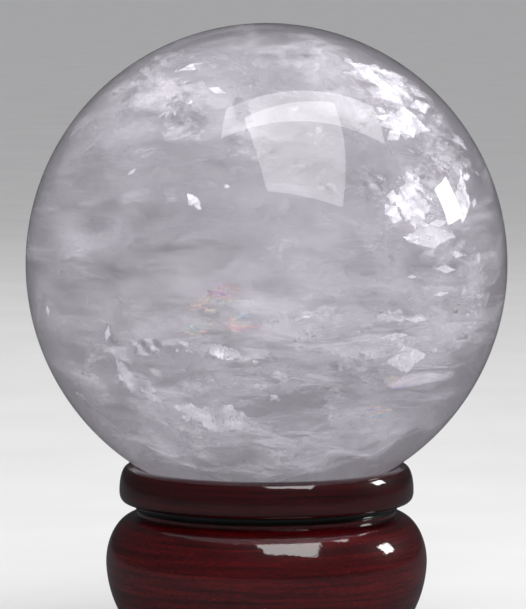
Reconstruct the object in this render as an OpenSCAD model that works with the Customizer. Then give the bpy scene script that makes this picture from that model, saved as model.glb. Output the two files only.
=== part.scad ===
// Crystal ball on a turned and lacquered wooden stand.
// The stand is a stack of turned pieces: a foot ring, a black collar, a swelling drum, a black
// waist and a dished rim. Round spigots, dowels and two wood screws hold it together.
// The ball rests on a loose felt ring in the dish, so that it turns in its seat and lifts off.
// Origin: centre of the underside, where the felt meets the table. +Z is up, -Y is the front.

/* [Ball] */
// Diameter of the ball
ball_d = 100; // [96:1:102]
// Depth of the ball's lowest point below the stand's lip
ball_sink = 7.9; // [7.6:0.1:8.2]

/* [Seat] */
// Gap between the ball and the bare dish round it
seat_gap = 0.35; // [0.3:0.05:0.4]
// Thickness of the loose felt ring under the ball
pad_t = 0.8; // [0.6:0.1:1]
// Gap left on each side of the felt ring
pad_play = 0.1; // [0.05:0.05:0.15]
// Angle from the ball's lowest point to the felt ring's inner edge
pad_inner_angle = 24; // [23:1:25]
// Angle from the ball's lowest point to the felt ring's outer edge
pad_outer_angle = 29; // [27:1:30]

/* [Rim] */
// Height of the dished rim
rim_h = 7.5; // [7:0.1:8]
// Widest radius of the rim
rim_r = 30.7; // [30.2:0.1:31.5]
// Radius at which the rim's outside meets its lip
lip_r = 29; // [28.8:0.1:29.3]

/* [Waist and collar] */
// Height of the black groove between rim and drum
waist_h = 1.6; // [1.4:0.1:2]
// Height of the black groove between drum and foot
collar_h = 1.4; // [1.2:0.1:2]
// Outer radius of both black pieces
waist_r = 27.4; // [26.5:0.1:27.6]

/* [Drum] */
// Radius of the drum at its belly
drum_r = 33.5; // [33:0.1:35]
// Height of the drum above its belly
drum_up_h = 10.8; // [10:0.1:12]
// Height of the drum below its belly
drum_low_h = 13.7; // [12.5:0.1:15]

/* [Foot] */
// Height of the foot ring
foot_h = 5; // [4.5:0.1:6]
// Widest radius of the foot ring
foot_r = 30.8; // [30:0.1:32]
// Radius of the felt disc under the foot
felt_r = 25; // [23:0.5:26]
// Thickness of that felt disc
felt_t = 1; // [0.8:0.1:1.4]

/* [Joinery] */
// Radius of the waist's upper spigot, which enters the rim
rim_spigot_r = 17; // [15:0.5:18]
// Radius of the spigots that enter the drum
drum_spigot_r = 15; // [13:0.5:16]
// Depth to which those spigots enter the drum
spigot_depth = 4; // [3.5:0.5:5]
// Diameter of a dowel
dowel_d = 3; // [2:0.5:3]
// Shank diameter of the wood screws
screw_d = 3.5; // [3:0.5:4]

/* [Hidden] */
$fn = 96;

// Levels, from the table up.
felt_recess = 0.4;                         // depth to which the felt disc is let into the foot
foot_z = felt_t - felt_recess;
collar_z = foot_z + foot_h;
drum_z = collar_z + collar_h;
belly_z = drum_z + drum_low_h;
waist_z = belly_z + drum_up_h;
rim_z = waist_z + waist_h;
lip_z = rim_z + rim_h;
ball_r = ball_d / 2;
ball_z = lip_z - ball_sink + ball_r;       // centre of the ball, the dish and the felt ring
dish_r = ball_r + seat_gap;
dish_floor_z = ball_z - dish_r;
pad_in_r = ball_r + pad_play;
pad_out_r = pad_in_r + pad_t;

// Shape of the turned outlines. A shoulder is a superellipse quadrant, and 2 is a true ellipse.
steps = 14;                                // straight steps in each turned curve
pad_steps = 6;                             // straight steps across the felt ring
drum_neck_r = 27.1;                        // where the drum's upper shoulder ends
drum_neck_h = 0.9;                         // height of the straight neck above it
drum_up_n = 1.95;
drum_low_a = 8.5;                          // how far the lower shoulder would draw in
drum_low_reach = 1.13;                     // its full height as a share of the drum's lower part
drum_low_n = 1.8;
rim_belly = 5;                             // depth of the rim's widest line below its lip
rim_low_n = 2.6;
rim_under_r = 28.6;                        // where the rim's side meets its flat underside
foot_edge_in = 2.2;                        // how far the foot ring's edges draw in
foot_edge_n = 2.6;
cove_r = 1.1;                              // radius of the round groove in waist and collar
cove_out = 0.7;                            // how far its centre stands off the waist's radius

// Fits.
glue = 0.05;                               // gap round a glued spigot, dowel or screw
bottom_gap = 0.2;                          // gap under the end of a spigot, dowel or screw
pad_end_gap = 0.5;                         // angle left free at the felt ring's two edges
dowel_circle_r = 22;
rim_dowel_in_rim = 2;                      // how far a dowel enters the rim
foot_dowel_in_foot = 3;
dowel_in_drum = 5;
dowel_chamfer = 0.4;
screw_head_r = 3.4;
screw_head_edge = 0.3;                     // straight edge above the countersink
screw_head_h = 1.7;
screw_tip_h = 4;
screw_tip_r = 0.3;
screw_slot_w = 0.9;                        // cross recess in a screw head
screw_slot_l = 3.6;
screw_slot_h = 0.9;
head_sink = 0.3;                           // how far the seat screw's head lies below the dish
tip_gap = 3;                               // wood left between the two screws' points
tips_z = drum_z + 0.42 * (drum_low_h + drum_up_h);
seat_screw_l = dish_floor_z - head_sink - tips_z - tip_gap / 2;
foot_screw_l = tips_z - tip_gap / 2 - felt_t;

LACQUER = "#5a0a0c";
BLACK = "#0c0d0e";
CRYSTAL = "#d9d6dc";
FELT = "#1c1514";
BEECH = "#c9a577";
STEEL = "#a9adb2";

// Share of a superellipse's half-width left at height h of b, with exponent n.
function bow(h, b, n) = pow(max(0, 1 - pow(h / b, n)), 1 / n);

// Points of a turned quadrant, from the widest line to height h, up (+1) or down (-1).
function shoulder(r, z, a, b, n, h, way) =
    [for (i = [0:steps]) let (t = i / steps, d = b * sin(t * asin(h / b)))
        [r - a * (1 - bow(d, b, n)), z + way * d]];

function reversed(list) = [for (i = [len(list) - 1:-1:0]) list[i]];

module turned() { rotate_extrude() children(); }

module disc(r, z0, z1) { translate([0, 0, z0]) cylinder(r = r, h = z1 - z0); }

module dish() { translate([0, 0, ball_z]) sphere(r = dish_r); }

// Round-bottomed groove, cut round a piece whose groove runs from z0 to z1.
module cove(z0, z1) {
    turned() translate([waist_r + cove_out, (z0 + z1) / 2]) circle(r = cove_r);
}

module on_dowel(i) { rotate([0, 0, 180 * i]) translate([dowel_circle_r, 0, 0]) children(); }

module dowel_holes(z0, z1) {
    for (i = [0, 1]) on_dowel(i) disc(dowel_d / 2 + glue, z0, z1);
}

// Dowel with chamfered ends, from z0 to z1.
module dowel(z0, z1) {
    r = dowel_d / 2;
    turned() polygon([[0, z0], [r - dowel_chamfer, z0], [r, z0 + dowel_chamfer],
        [r, z1 - dowel_chamfer], [r - dowel_chamfer, z1], [0, z1]]);
}

// Countersunk wood screw, head at z = 0 and point down, grown all round by the given gap.
module screw_body(length, gap) {
    r = screw_d / 2 + gap;
    head = screw_head_r + gap;
    turned() polygon([[0, gap], [head, gap], [head, -screw_head_edge], [r, -screw_head_h - gap],
        [r, screw_tip_h - length], [screw_tip_r + gap, -length - gap], [0, -length - gap]]);
}

module screw(length) {
    difference() {
        screw_body(length, 0);
        for (turn = [0, 90]) rotate([0, 0, turn])
            translate([-screw_slot_l / 2, -screw_slot_w / 2, -screw_slot_h])
                cube([screw_slot_l, screw_slot_w, 2 * screw_slot_h]);
    }
}

module seat_screw_place() { translate([0, 0, dish_floor_z - head_sink]) children(); }

module foot_screw_place() { translate([0, 0, felt_t]) rotate([180, 0, 0]) children(); }

// Solid ball of polished crystal.
module crystal_ball() { color(CRYSTAL) translate([0, 0, ball_z]) sphere(r = ball_r); }

// Zone of a spherical shell from radius r0 to r1, between two cones about the ball's centre.
module zone(r0, r1, a0, a1) {
    angles = [for (i = [0:pad_steps]) a0 + i / pad_steps * (a1 - a0)];
    turned() polygon(concat(
        [for (a = angles) [r1 * sin(a), ball_z - r1 * cos(a)]],
        reversed([for (a = angles) [r0 * sin(a), ball_z - r0 * cos(a)]])));
}

// Loose felt ring that lies in the recess of the dish.
module seat_pad() { color(FELT) zone(pad_in_r, pad_out_r, pad_inner_angle, pad_outer_angle); }

module pad_recess() {
    zone(pad_in_r, pad_out_r + pad_play, pad_inner_angle - pad_end_gap, pad_outer_angle + pad_end_gap);
}

// Dished rim: convex side, narrow lip and a flat underside with a bore for the waist's spigot.
module seat_rim() {
    rim_widest = lip_z - rim_belly;
    color(LACQUER) difference() {
        turned() polygon(concat(
            [[0, rim_z]],
            reversed(shoulder(rim_r, rim_widest, rim_r - rim_under_r, rim_widest - rim_z, rim_low_n,
                rim_widest - rim_z, -1)),
            shoulder(rim_r, rim_widest, rim_r - lip_r, rim_belly, 2, rim_belly, 1),
            [[0, lip_z]]));
        dish();
        pad_recess();
        disc(rim_spigot_r + glue, rim_z - 1, lip_z);
        dowel_holes(rim_z - 1, rim_z + rim_dowel_in_rim + bottom_gap);
    }
}

// Black-lacquered waist: a grooved flange with a dished spigot above and a plain one below.
module waist_spool() {
    color(BLACK) difference() {
        union() {
            disc(waist_r, waist_z, rim_z);
            disc(rim_spigot_r, waist_z, rim_z + 3);
            disc(drum_spigot_r, waist_z - spigot_depth, rim_z);
        }
        cove(waist_z, rim_z);
        dish();
        dowel_holes(waist_z - 1, rim_z + 1);
        seat_screw_place() screw_body(seat_screw_l, glue);
        seat_screw_place() disc(screw_head_r + glue, 0, 2);
    }
}

// Swelling drum with a straight neck, and a mortise, dowel holes and a screw hole at each end.
module drum_body() {
    shoulder_h = drum_up_h - drum_neck_h;
    color(LACQUER) difference() {
        turned() polygon(concat(
            [[0, drum_z]],
            reversed(shoulder(drum_r, belly_z, drum_low_a, drum_low_h * drum_low_reach, drum_low_n,
                drum_low_h, -1)),
            shoulder(drum_r, belly_z, drum_r - drum_neck_r, shoulder_h, drum_up_n, shoulder_h, 1),
            [[drum_neck_r, waist_z], [0, waist_z]]));
        disc(drum_spigot_r + glue, waist_z - spigot_depth - bottom_gap, waist_z + 1);
        disc(drum_spigot_r + glue, drum_z - 1, drum_z + spigot_depth + bottom_gap);
        dowel_holes(waist_z - dowel_in_drum - bottom_gap, waist_z + 1);
        dowel_holes(drum_z - 1, drum_z + dowel_in_drum + bottom_gap);
        seat_screw_place() screw_body(seat_screw_l, glue);
        foot_screw_place() screw_body(foot_screw_l, glue);
    }
}

// Black-lacquered collar, a grooved washer round the foot ring's spigot.
module foot_collar() {
    color(BLACK) difference() {
        disc(waist_r, collar_z, drum_z);
        disc(drum_spigot_r + glue, collar_z - 1, drum_z + 1);
        cove(collar_z, drum_z);
        dowel_holes(collar_z - 1, drum_z + 1);
    }
}

// Half-round foot ring with a spigot above and a shallow recess for the felt below.
module foot_ring() {
    half = foot_h / 2;
    middle = foot_z + half;
    color(LACQUER) difference() {
        union() {
            turned() polygon(concat(
                [[0, foot_z]],
                reversed(shoulder(foot_r, middle, foot_edge_in, half, foot_edge_n, half, -1)),
                shoulder(foot_r, middle, foot_edge_in, half, foot_edge_n, half, 1),
                [[0, collar_z]]));
            disc(drum_spigot_r, foot_z, drum_z + spigot_depth);
        }
        disc(felt_r + glue, foot_z - 1, felt_t);
        dowel_holes(collar_z - foot_dowel_in_foot - bottom_gap, collar_z + 1);
        foot_screw_place() screw_body(foot_screw_l, glue);
    }
}

// Felt disc that the whole object stands on.
module base_felt() { color(FELT) disc(felt_r, 0, felt_t); }

module seat_screw() { color(STEEL) seat_screw_place() screw(seat_screw_l); }

module foot_screw() { color(STEEL) foot_screw_place() screw(foot_screw_l); }

module rim_dowel(i) {
    color(BEECH) on_dowel(i) dowel(waist_z - dowel_in_drum, rim_z + rim_dowel_in_rim);
}

module foot_dowel(i) {
    color(BEECH) on_dowel(i) dowel(collar_z - foot_dowel_in_foot, drum_z + dowel_in_drum);
}

crystal_ball();
seat_pad();
seat_rim();
waist_spool();
drum_body();
foot_collar();
foot_ring();
base_felt();
seat_screw();
foot_screw();
rim_dowel(0);  // rim_dowel_1
rim_dowel(1);  // rim_dowel_2
foot_dowel(0);  // foot_dowel_1
foot_dowel(1);  // foot_dowel_2
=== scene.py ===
# %% [markdown]
# # A crystal ball on its lacquered stand
# The object is a ball of clouded rock crystal on a low wooden stand. The stand was turned on a
# lathe and lacquered dark red, with a near-black groove under its rim, whose black is also painted
# shade: it stands for the shade that falls in the groove. This script dresses the imported solids:
# it turns smooth pieces in place of the plain ones, grows the veils, cracks and clouds inside the
# ball, and gives every piece the finish of the real material.

# %% Load the frame
import bpy
import math
import numpy as np
from mathutils import Matrix, Vector


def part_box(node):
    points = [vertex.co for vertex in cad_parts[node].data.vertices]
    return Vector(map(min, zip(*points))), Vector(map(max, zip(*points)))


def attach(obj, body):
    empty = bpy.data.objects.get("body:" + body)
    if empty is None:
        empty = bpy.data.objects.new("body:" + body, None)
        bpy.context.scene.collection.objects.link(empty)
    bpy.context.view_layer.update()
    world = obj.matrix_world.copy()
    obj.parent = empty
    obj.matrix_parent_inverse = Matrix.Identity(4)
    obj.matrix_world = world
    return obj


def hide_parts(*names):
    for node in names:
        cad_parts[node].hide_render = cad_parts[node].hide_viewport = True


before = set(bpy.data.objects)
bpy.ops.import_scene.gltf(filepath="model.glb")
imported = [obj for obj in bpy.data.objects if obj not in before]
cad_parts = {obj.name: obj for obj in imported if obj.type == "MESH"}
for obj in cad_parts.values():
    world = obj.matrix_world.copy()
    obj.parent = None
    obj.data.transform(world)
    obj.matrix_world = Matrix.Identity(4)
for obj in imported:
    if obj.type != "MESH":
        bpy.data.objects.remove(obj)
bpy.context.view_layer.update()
MM = 0.001
print("nodes:", len(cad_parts))

# %% [markdown]
# ## The sizes that everything is worked out from
# Each turned piece fills the height of its solid, so the levels of the stand are read from the
# frame. The ball gives the scale of everything inside it.

# %% Levels and radii
ball_low, ball_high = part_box("crystal_ball")
rim_low, rim_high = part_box("seat_rim")
drum_low, drum_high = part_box("drum_body")
foot_low, foot_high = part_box("foot_ring")
felt_low, felt_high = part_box("base_felt")

BALL_R = (ball_high[2] - ball_low[2]) / 2
BALL_Z = (ball_high[2] + ball_low[2]) / 2
LIP_Z = rim_high[2]
RIM_Z = rim_low[2]
WAIST_Z = drum_high[2]
DRUM_Z = drum_low[2]
COLLAR_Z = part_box("foot_collar")[0][2]
FOOT_Z = foot_low[2]
FELT_Z = felt_high[2]
print(f"ball radius {BALL_R / MM:.1f} mm, centre {BALL_Z / MM:.1f} mm up, stand {LIP_Z / MM:.1f} mm high")

# %% [markdown]
# ## The camera
# A long lens from nine tenths of a metre, a hand's width above the ball's middle, so the stand's
# rim shows as a flat ellipse. The lens follows from the ball's share of the picture's height.

# %% Place the camera
CAMERA_BACK = 0.9
CAMERA_RISE = 0.0675
AIM_DROP = 0.00844
AIM_LEFT = 0.00073
LENS_MM = 256.7

camera = bpy.data.objects.new("camera", bpy.data.cameras.new("camera"))
bpy.context.collection.objects.link(camera)
camera.location = (0, -CAMERA_BACK, BALL_Z + CAMERA_RISE)
aim = Vector((-AIM_LEFT, 0, BALL_Z - AIM_DROP)) - camera.location
camera.rotation_euler = aim.to_track_quat("-Z", "Y").to_euler()
camera.data.lens = LENS_MM
camera.data.sensor_width = 36
camera.data.clip_end = 50
bpy.context.scene.camera = camera
print("camera looks", [round(c, 3) for c in aim.normalized()])

# %% [markdown]
# ## Node helpers
# A material is a small graph of nodes. One function adds any node with its settings and links:
# a plain value sets a socket, and another node is linked to it. Colours are written as
# the hex values that a paint chart gives, and one function turns them to the linear light that
# the shader works in.


# %% Colour and node helpers
def linear(hex_colour):
    """The linear colour of an sRGB hex value, with full alpha."""
    values = np.array([int(hex_colour[i:i + 2], 16) for i in (1, 3, 5)]) / 255
    light = np.where(values <= 0.04045, values / 12.92, ((values + 0.055) / 1.055) ** 2.4)
    return (*light.tolist(), 1.0)


def add(tree, kind, settings=None, **sockets):
    """Adds a shader node of that kind. settings are its own properties, and each socket is given
    by its name in lower case with _ for spaces, or as _0, _1 by place: a value to set, or an
    output to link. A whole node stands for its first output."""
    node = tree.nodes.new("ShaderNode" + kind)
    for key, value in (settings or {}).items():
        setattr(node, key, value)
    for key, value in sockets.items():
        names = {s.name.lower().replace(" ", "_"): s for s in reversed(node.inputs)}
        socket = node.inputs[int(key[1:])] if key[0] == "_" else names[key]
        if isinstance(value, bpy.types.Node):
            value = value.outputs[0]
        if isinstance(value, bpy.types.NodeSocket):
            tree.links.new(value, socket)
        else:
            socket.default_value = value
    return node


def ramp(tree, source, *stops):
    """A colour ramp on source, with stops given as (place, hex colour)."""
    node = add(tree, "ValToRGB", fac=source)
    elements = node.color_ramp.elements
    while len(elements) < len(stops):
        elements.new(0.5)
    for element, (place, colour) in zip(elements, stops):
        element.position = place
        element.color = linear(colour)
    return node


def fresh_material(name):
    """A material whose tree of nodes is still empty, and that tree."""
    material = bpy.data.materials.new(name)
    material.use_nodes = True
    material.node_tree.nodes.clear()
    return material, material.node_tree


def place_pattern(tree, per_mm):
    """Object coordinates scaled so that a noise of scale 1 has about per_mm features to a
    millimetre along X, Y and Z."""
    where = add(tree, "TexCoord").outputs["Object"]
    scale = [value / MM for value in per_mm]
    return add(tree, "Mapping", vector=where, scale=scale)


# %% [markdown]
# ## Mesh helpers
# Every piece is a stack of rings: points on a grid whose one parameter runs along an outline and
# whose other runs round it. An outline that starts and ends on the axis closes on a single point
# at each end, and one that never meets the axis, as on a ring, closes on itself.


# %% Rings to mesh
def put_mesh(name, points, faces, material):
    """Makes an object from points and faces, smooth, with its faces outward: the signed volume
    of a closed shell is positive when they are, so a negative one is turned over."""
    mesh = bpy.data.meshes.new(name)
    mesh.from_pydata(points.tolist(), [], faces)
    mesh.validate()
    mesh.calc_loop_triangles()
    corners = np.empty(len(mesh.loop_triangles) * 3, int)
    mesh.loop_triangles.foreach_get("vertices", corners)
    a, b, c = points[corners.reshape(-1, 3)].transpose(1, 0, 2)
    if np.einsum("ij,ij->i", a, np.cross(b, c)).sum() < 0:
        mesh.flip_normals()
    mesh.shade_smooth()
    mesh.materials.append(material)
    piece = bpy.data.objects.new(name, mesh)
    bpy.context.collection.objects.link(piece)
    return piece


def ring_faces(rings, around, closed):
    """Quads between neighbouring rings, and from the last to the first when closed."""
    rows = np.arange(rings if closed else rings - 1)
    i, j = np.meshgrid(rows, np.arange(around), indexing="ij")
    up, on = (i + 1) % rings, (j + 1) % around
    quads = np.stack([i * around + j, i * around + on, up * around + on, up * around + j], -1)
    return quads.reshape(-1, 4)


def capped_faces(rings, around, start=0):
    """Quads between the rings, and a fan of triangles at each end round the two points that follow
    the rings. start is the number of the first point."""
    j = np.arange(around)
    on = (j + 1) % around
    last_ring = (rings - 1) * around
    first = np.stack([np.full(around, rings * around), on, j], -1)
    last = np.stack([np.full(around, rings * around + 1), last_ring + j, last_ring + on], -1)
    parts = [ring_faces(rings, around, False), first, last]
    return [face for part in parts for face in (part + start).tolist()]


def shell(name, grid, material, poles=True):
    """A closed surface through a grid of rings. With poles, the first and last rings have shrunk
    to one point each, and fans of triangles close on those points."""
    if not poles:
        rings, around = grid.shape[:2]
        faces = ring_faces(rings, around, True).tolist()
        return put_mesh(name, grid.reshape(-1, 3), faces, material)
    inner = grid[1:-1]
    points = np.vstack([inner.reshape(-1, 3), grid[0, :1], grid[-1, :1]])
    return put_mesh(name, points, capped_faces(*inner.shape[:2]), material)


# %% [markdown]
# ## Turning on the lathe
# A turned outline is drawn as radius and height. Its curves are superellipse quadrants, as in the
# solids. Sandpaper and lacquer leave no edge quite sharp, so the outline is walked in even steps
# and averaged, which eases every corner, and its points then crowd where it bends.


# %% Outlines and turned pieces
AROUND = 160
WALK_STEPS = 3      # steps to one radius of the bell curve
BELL_STEPS = 9      # steps that the bell curve reaches to each side
LONGEST_STEP = 0.6 * MM
SHARPEST_TURN = 9   # degrees between neighbouring points of an outline
RIPPLE_WAVES = 8
RIPPLE_FADE = 5 * MM


def shoulder(widest_r, widest_z, drawn_in, reach, power, height, way):
    """A quadrant from the widest line to height, up or down. The radius loses drawn_in times one
    less the root of one less the height's share of reach, each to that power."""
    angles = np.linspace(0, 1, 40) * math.asin(min(1, height / reach))
    share = np.sin(angles)
    left = np.clip(1 - share ** power, 0, 1) ** (1 / power)
    return np.column_stack([widest_r - drawn_in * (1 - left), widest_z + way * reach * share])


def arc(centre_r, centre_z, radius, start, end, count=24):
    """Points on a circle, from angle start to end in degrees, where 0 is straight down."""
    angles = np.radians(np.linspace(start, end, count))
    return np.column_stack([centre_r + radius * np.sin(angles), centre_z - radius * np.cos(angles)])


def soften(outline, radius, count, closed):
    """The outline with eased corners: walked in steps of a third of radius, averaged under a bell
    curve of that radius, and thinned to count points, evenly in length plus turning."""
    points = np.vstack([outline, outline[:1]]) if closed else np.asarray(outline)
    length = np.concatenate([[0], np.cumsum(np.hypot(*np.diff(points, axis=0).T))])
    even = np.arange(0, length[-1], radius / WALK_STEPS)
    walk = np.column_stack([np.interp(even, length, points[:, k]) for k in (0, 1)])
    bell = np.exp(-0.5 * (np.arange(-BELL_STEPS, BELL_STEPS + 1) / WALK_STEPS) ** 2)
    bell /= bell.sum()
    padded = np.pad(walk, ((BELL_STEPS,) * 2, (0, 0)), mode="wrap" if closed else "edge")
    eased = np.column_stack([np.convolve(padded[:, k], bell, "valid") for k in (0, 1)])
    if not closed:
        eased[[0, -1]] = points[[0, -1]]
    way = np.diff(eased, axis=0)
    heading = np.unwrap(np.arctan2(way[:, 1], way[:, 0]))
    turning = np.abs(np.diff(heading, prepend=heading[0]))
    worth = np.hypot(*way.T) / LONGEST_STEP + turning / math.radians(SHARPEST_TURN)
    spent = np.concatenate([[0], np.cumsum(worth)])
    wanted = np.linspace(0, spent[-1], count, endpoint=not closed)
    return np.column_stack([np.interp(wanted, spent, eased[:, k]) for k in (0, 1)])


def ripple(angles, heights, seed, depth):
    """The faint unevenness of hand-brushed lacquer: a sum of waves that run round and up the
    piece, whose size in all is about depth."""
    draw = np.random.default_rng(seed)
    total = np.zeros(np.broadcast(angles, heights).shape)
    for _ in range(RIPPLE_WAVES):
        round_waves = draw.integers(3, 30)
        up_waves = draw.uniform(-1500, 1500)
        total += np.sin(round_waves * angles + up_waves * heights + draw.uniform(0, 6.28)) / 4
    return depth * total


def turned(name, outline, material, closed=True, count=150, ease=0.12 * MM, seed=1,
           uneven=0.006 * MM):
    """A solid of revolution: the eased outline carried round the upright axis, pushed along its
    own normal by the ripple, which fades out near the axis."""
    flat = soften(outline, ease, count, closed)
    slope = np.gradient(flat, axis=0)
    normal = np.column_stack([slope[:, 1], -slope[:, 0]])
    normal /= np.maximum(np.hypot(*normal.T), 1e-12)[:, None]
    angles = np.linspace(0, 2 * math.pi, AROUND, endpoint=False)[None, :]
    push = ripple(angles, flat[:, 1:], seed, uneven) * np.clip(flat[:, :1] / RIPPLE_FADE, 0, 1)
    radius = flat[:, :1] + normal[:, :1] * push
    height = flat[:, 1:] + normal[:, 1:] * push
    grid = np.stack([radius * np.cos(angles), radius * np.sin(angles), height], -1)
    piece = shell(name, grid, material, poles=not closed)
    print(f"{name}: {len(piece.data.polygons)} faces, {np.abs(grid[..., 0]).max() / MM:.1f} mm radius")
    return piece


# %% [markdown]
# ## Red lacquer on turned wood
# The stand is a close-grained hardwood, stained and brushed with several coats of clear red
# lacquer. The eye sees a deep, dark red with fine streaks that run round the piece, where the
# brush and the lathe went, small pores that follow the wood's grain, and a hard, wet gloss whose
# reflections wander a little. The red is a rough base under a smooth clear coat.


# %% Red lacquer
def red_lacquer(name, dark, middle, bright):
    """Wood under clear red lacquer: streaks of about 1 mm up the piece and tens of millimetres
    round it, pores 0.4 mm across and 3 mm long, and a coat with a slow, shallow unevenness."""
    material, tree = fresh_material(name)
    streak_place = place_pattern(tree, (0.035, 0.035, 0.9))
    streak = add(tree, "TexNoise", vector=streak_place, scale=1, detail=4, roughness=0.6)
    pore_place = place_pattern(tree, (0.3, 2.4, 2.4))
    pore = add(tree, "TexNoise", vector=pore_place, scale=1, detail=3)
    grain = add(tree, "Math", {"operation": "MULTIPLY_ADD"}, _0=pore, _1=0.45, _2=-0.2)
    tone = add(tree, "Math", {"operation": "ADD"}, _0=streak, _1=grain)
    colour = ramp(tree, tone, (0.32, dark), (0.52, middle), (0.78, bright))
    coat_place = place_pattern(tree, (0.28, 0.28, 0.5))
    coat_wave = add(tree, "TexNoise", vector=coat_place, scale=1, detail=4, roughness=0.6)
    coat_bump = add(tree, "Bump", strength=0.4, distance=0.11 * MM, height=coat_wave)
    base_bump = add(tree, "Bump", strength=0.3, distance=0.05 * MM, height=tone)
    shader = add(tree, "BsdfPrincipled", base_color=colour, roughness=0.42, ior=1.5,
                 specular_ior_level=0.12, normal=base_bump, coat_weight=1.0, coat_roughness=0.04,
                 coat_ior=1.85, coat_normal=coat_bump)
    add(tree, "OutputMaterial", surface=shader)
    return material


LACQUER_RIM = red_lacquer("red_lacquer_rim", "#1a0002", "#300003", "#430205")
LACQUER_DRUM = red_lacquer("red_lacquer_drum", "#260002", "#420004", "#5a0407")
print("lacquers:", LACQUER_RIM.name, LACQUER_DRUM.name)

# %% [markdown]
# ## The rim
# The rim is a dished ring, 61 mm across, with a convex side and a narrow lip. The ball hangs in
# its dish without touching the wood, because the felt ring lies in a recess and stands proud of
# it. The outline goes once round the ring's section: underside, side, lip, dish and bore.

# %% Turn the rim
GLUE = 0.05 * MM
SEAT_GAP = 0.35 * MM
DISH_R = BALL_R + SEAT_GAP
RECESS_R = BALL_R + 1.0 * MM
RECESS_ANGLES = (23.5, 29.5)
RIM_SPIGOT_R = 17 * MM
LIP_R = 29 * MM
RIM_BELLY = 5 * MM
RIM_UNDER_R = 28.6 * MM
RIM_UNDER_POWER = 2.6
rim_r = rim_high[0]
belly_z = LIP_Z - RIM_BELLY
mouth_angle = math.degrees(math.acos((BALL_Z - LIP_Z) / DISH_R))
bore_angle = math.degrees(math.asin((RIM_SPIGOT_R + GLUE) / DISH_R))
rim_side = np.vstack([
    shoulder(rim_r, belly_z, rim_r - RIM_UNDER_R, belly_z - RIM_Z, RIM_UNDER_POWER,
             belly_z - RIM_Z, -1)[::-1],
    shoulder(rim_r, belly_z, rim_r - LIP_R, RIM_BELLY, 2, RIM_BELLY, 1)[1:],
])
rim_dish = np.vstack([
    arc(0, BALL_Z, DISH_R, mouth_angle, RECESS_ANGLES[1]),
    arc(0, BALL_Z, RECESS_R, RECESS_ANGLES[1], RECESS_ANGLES[0]),
    arc(0, BALL_Z, DISH_R, RECESS_ANGLES[0], bore_angle),
])
rim_outline = np.vstack([[[RIM_SPIGOT_R + GLUE, RIM_Z]], rim_side, rim_dish])
rim = turned("rim", rim_outline, LACQUER_RIM, count=220, seed=3)
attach(rim, "stand")
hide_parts("seat_rim")

# %% [markdown]
# ## The drum
# The drum carries the weight, and swells like a cushion between the two dark grooves. It is one
# solid block with a mortise and a screw hole at each end, so its outline starts and ends on the
# axis, at the bottoms of the two screw holes.

# %% Turn the drum
DRUM_NECK_R = 27.1 * MM
DRUM_NECK_H = 0.9 * MM
DRUM_UP_H = 10.8 * MM
DRUM_UP_POWER = 1.95
DRUM_LOW_IN = 8.5 * MM
DRUM_LOW_REACH = 1.13
DRUM_LOW_POWER = 1.8
DRUM_SPIGOT_R = 15 * MM
MORTISE_DEPTH = 4.2 * MM
SCREW_R = 1.8 * MM
SCREW_TIP = 4 * MM
seat_screw_low, seat_screw_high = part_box("seat_screw")
foot_screw_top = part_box("foot_screw")[1][2]
drum_belly_z = WAIST_Z - DRUM_UP_H
drum_r = drum_high[0]
low_h = drum_belly_z - DRUM_Z
up_h = DRUM_UP_H - DRUM_NECK_H
drum_side = np.vstack([
    shoulder(drum_r, drum_belly_z, drum_r - DRUM_NECK_R, up_h, DRUM_UP_POWER, up_h, 1)[::-1],
    shoulder(drum_r, drum_belly_z, DRUM_LOW_IN, low_h * DRUM_LOW_REACH, DRUM_LOW_POWER, low_h,
             -1)[1:],
])
upper_hole = [
    [0, seat_screw_low[2] - GLUE], [SCREW_R, seat_screw_low[2] + SCREW_TIP],
    [SCREW_R, WAIST_Z - MORTISE_DEPTH], [DRUM_SPIGOT_R + GLUE, WAIST_Z - MORTISE_DEPTH],
    [DRUM_SPIGOT_R + GLUE, WAIST_Z], [DRUM_NECK_R, WAIST_Z],
]
lower_hole = [
    [DRUM_SPIGOT_R + GLUE, DRUM_Z], [DRUM_SPIGOT_R + GLUE, DRUM_Z + MORTISE_DEPTH],
    [SCREW_R, DRUM_Z + MORTISE_DEPTH], [SCREW_R, foot_screw_top - SCREW_TIP],
    [0, foot_screw_top + GLUE],
]
drum_outline = np.vstack([upper_hole, drum_side, lower_hole])
drum = turned("drum", drum_outline, LACQUER_DRUM, closed=False, count=260, seed=5)
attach(drum, "stand")
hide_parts("drum_body")

# %% [markdown]
# ## The black grooves and the foot
# The waist and the collar are lacquered black. On the waist the black is also painted shade: it
# stands for the shade that falls in the groove under the rim. Each is a thin flange with a round
# groove cut in its edge, so it reads as a dark line between two swelling red forms. The foot ring
# below is red again, with a half-round edge and a shallow recess for the felt that it stands on.


# %% Black lacquer
def black_lacquer():
    """Black lacquer on wood: near black with a trace of green-blue, and the same wet coat. On the
    waist this black is also painted shade, for the shade in the groove under the rim.
    """
    material, tree = fresh_material("black_lacquer")
    place = place_pattern(tree, (0.06, 0.06, 1.2))
    streak = add(tree, "TexNoise", vector=place, scale=1, detail=4)
    colour = ramp(tree, streak, (0.35, "#030404"), (0.7, "#0b0e10"))
    bump = add(tree, "Bump", strength=0.3, distance=0.1 * MM, height=streak)
    shader = add(tree, "BsdfPrincipled", base_color=colour, roughness=0.4, ior=1.5,
                 specular_ior_level=0.3, coat_weight=1.0, coat_roughness=0.06, coat_ior=1.52,
                 coat_normal=bump)
    add(tree, "OutputMaterial", surface=shader)
    return material


# Near black for waist and collar; on the waist it is also painted shade, for the groove under the rim.
LACQUER_BLACK_AND_SHADE = black_lacquer()

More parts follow.
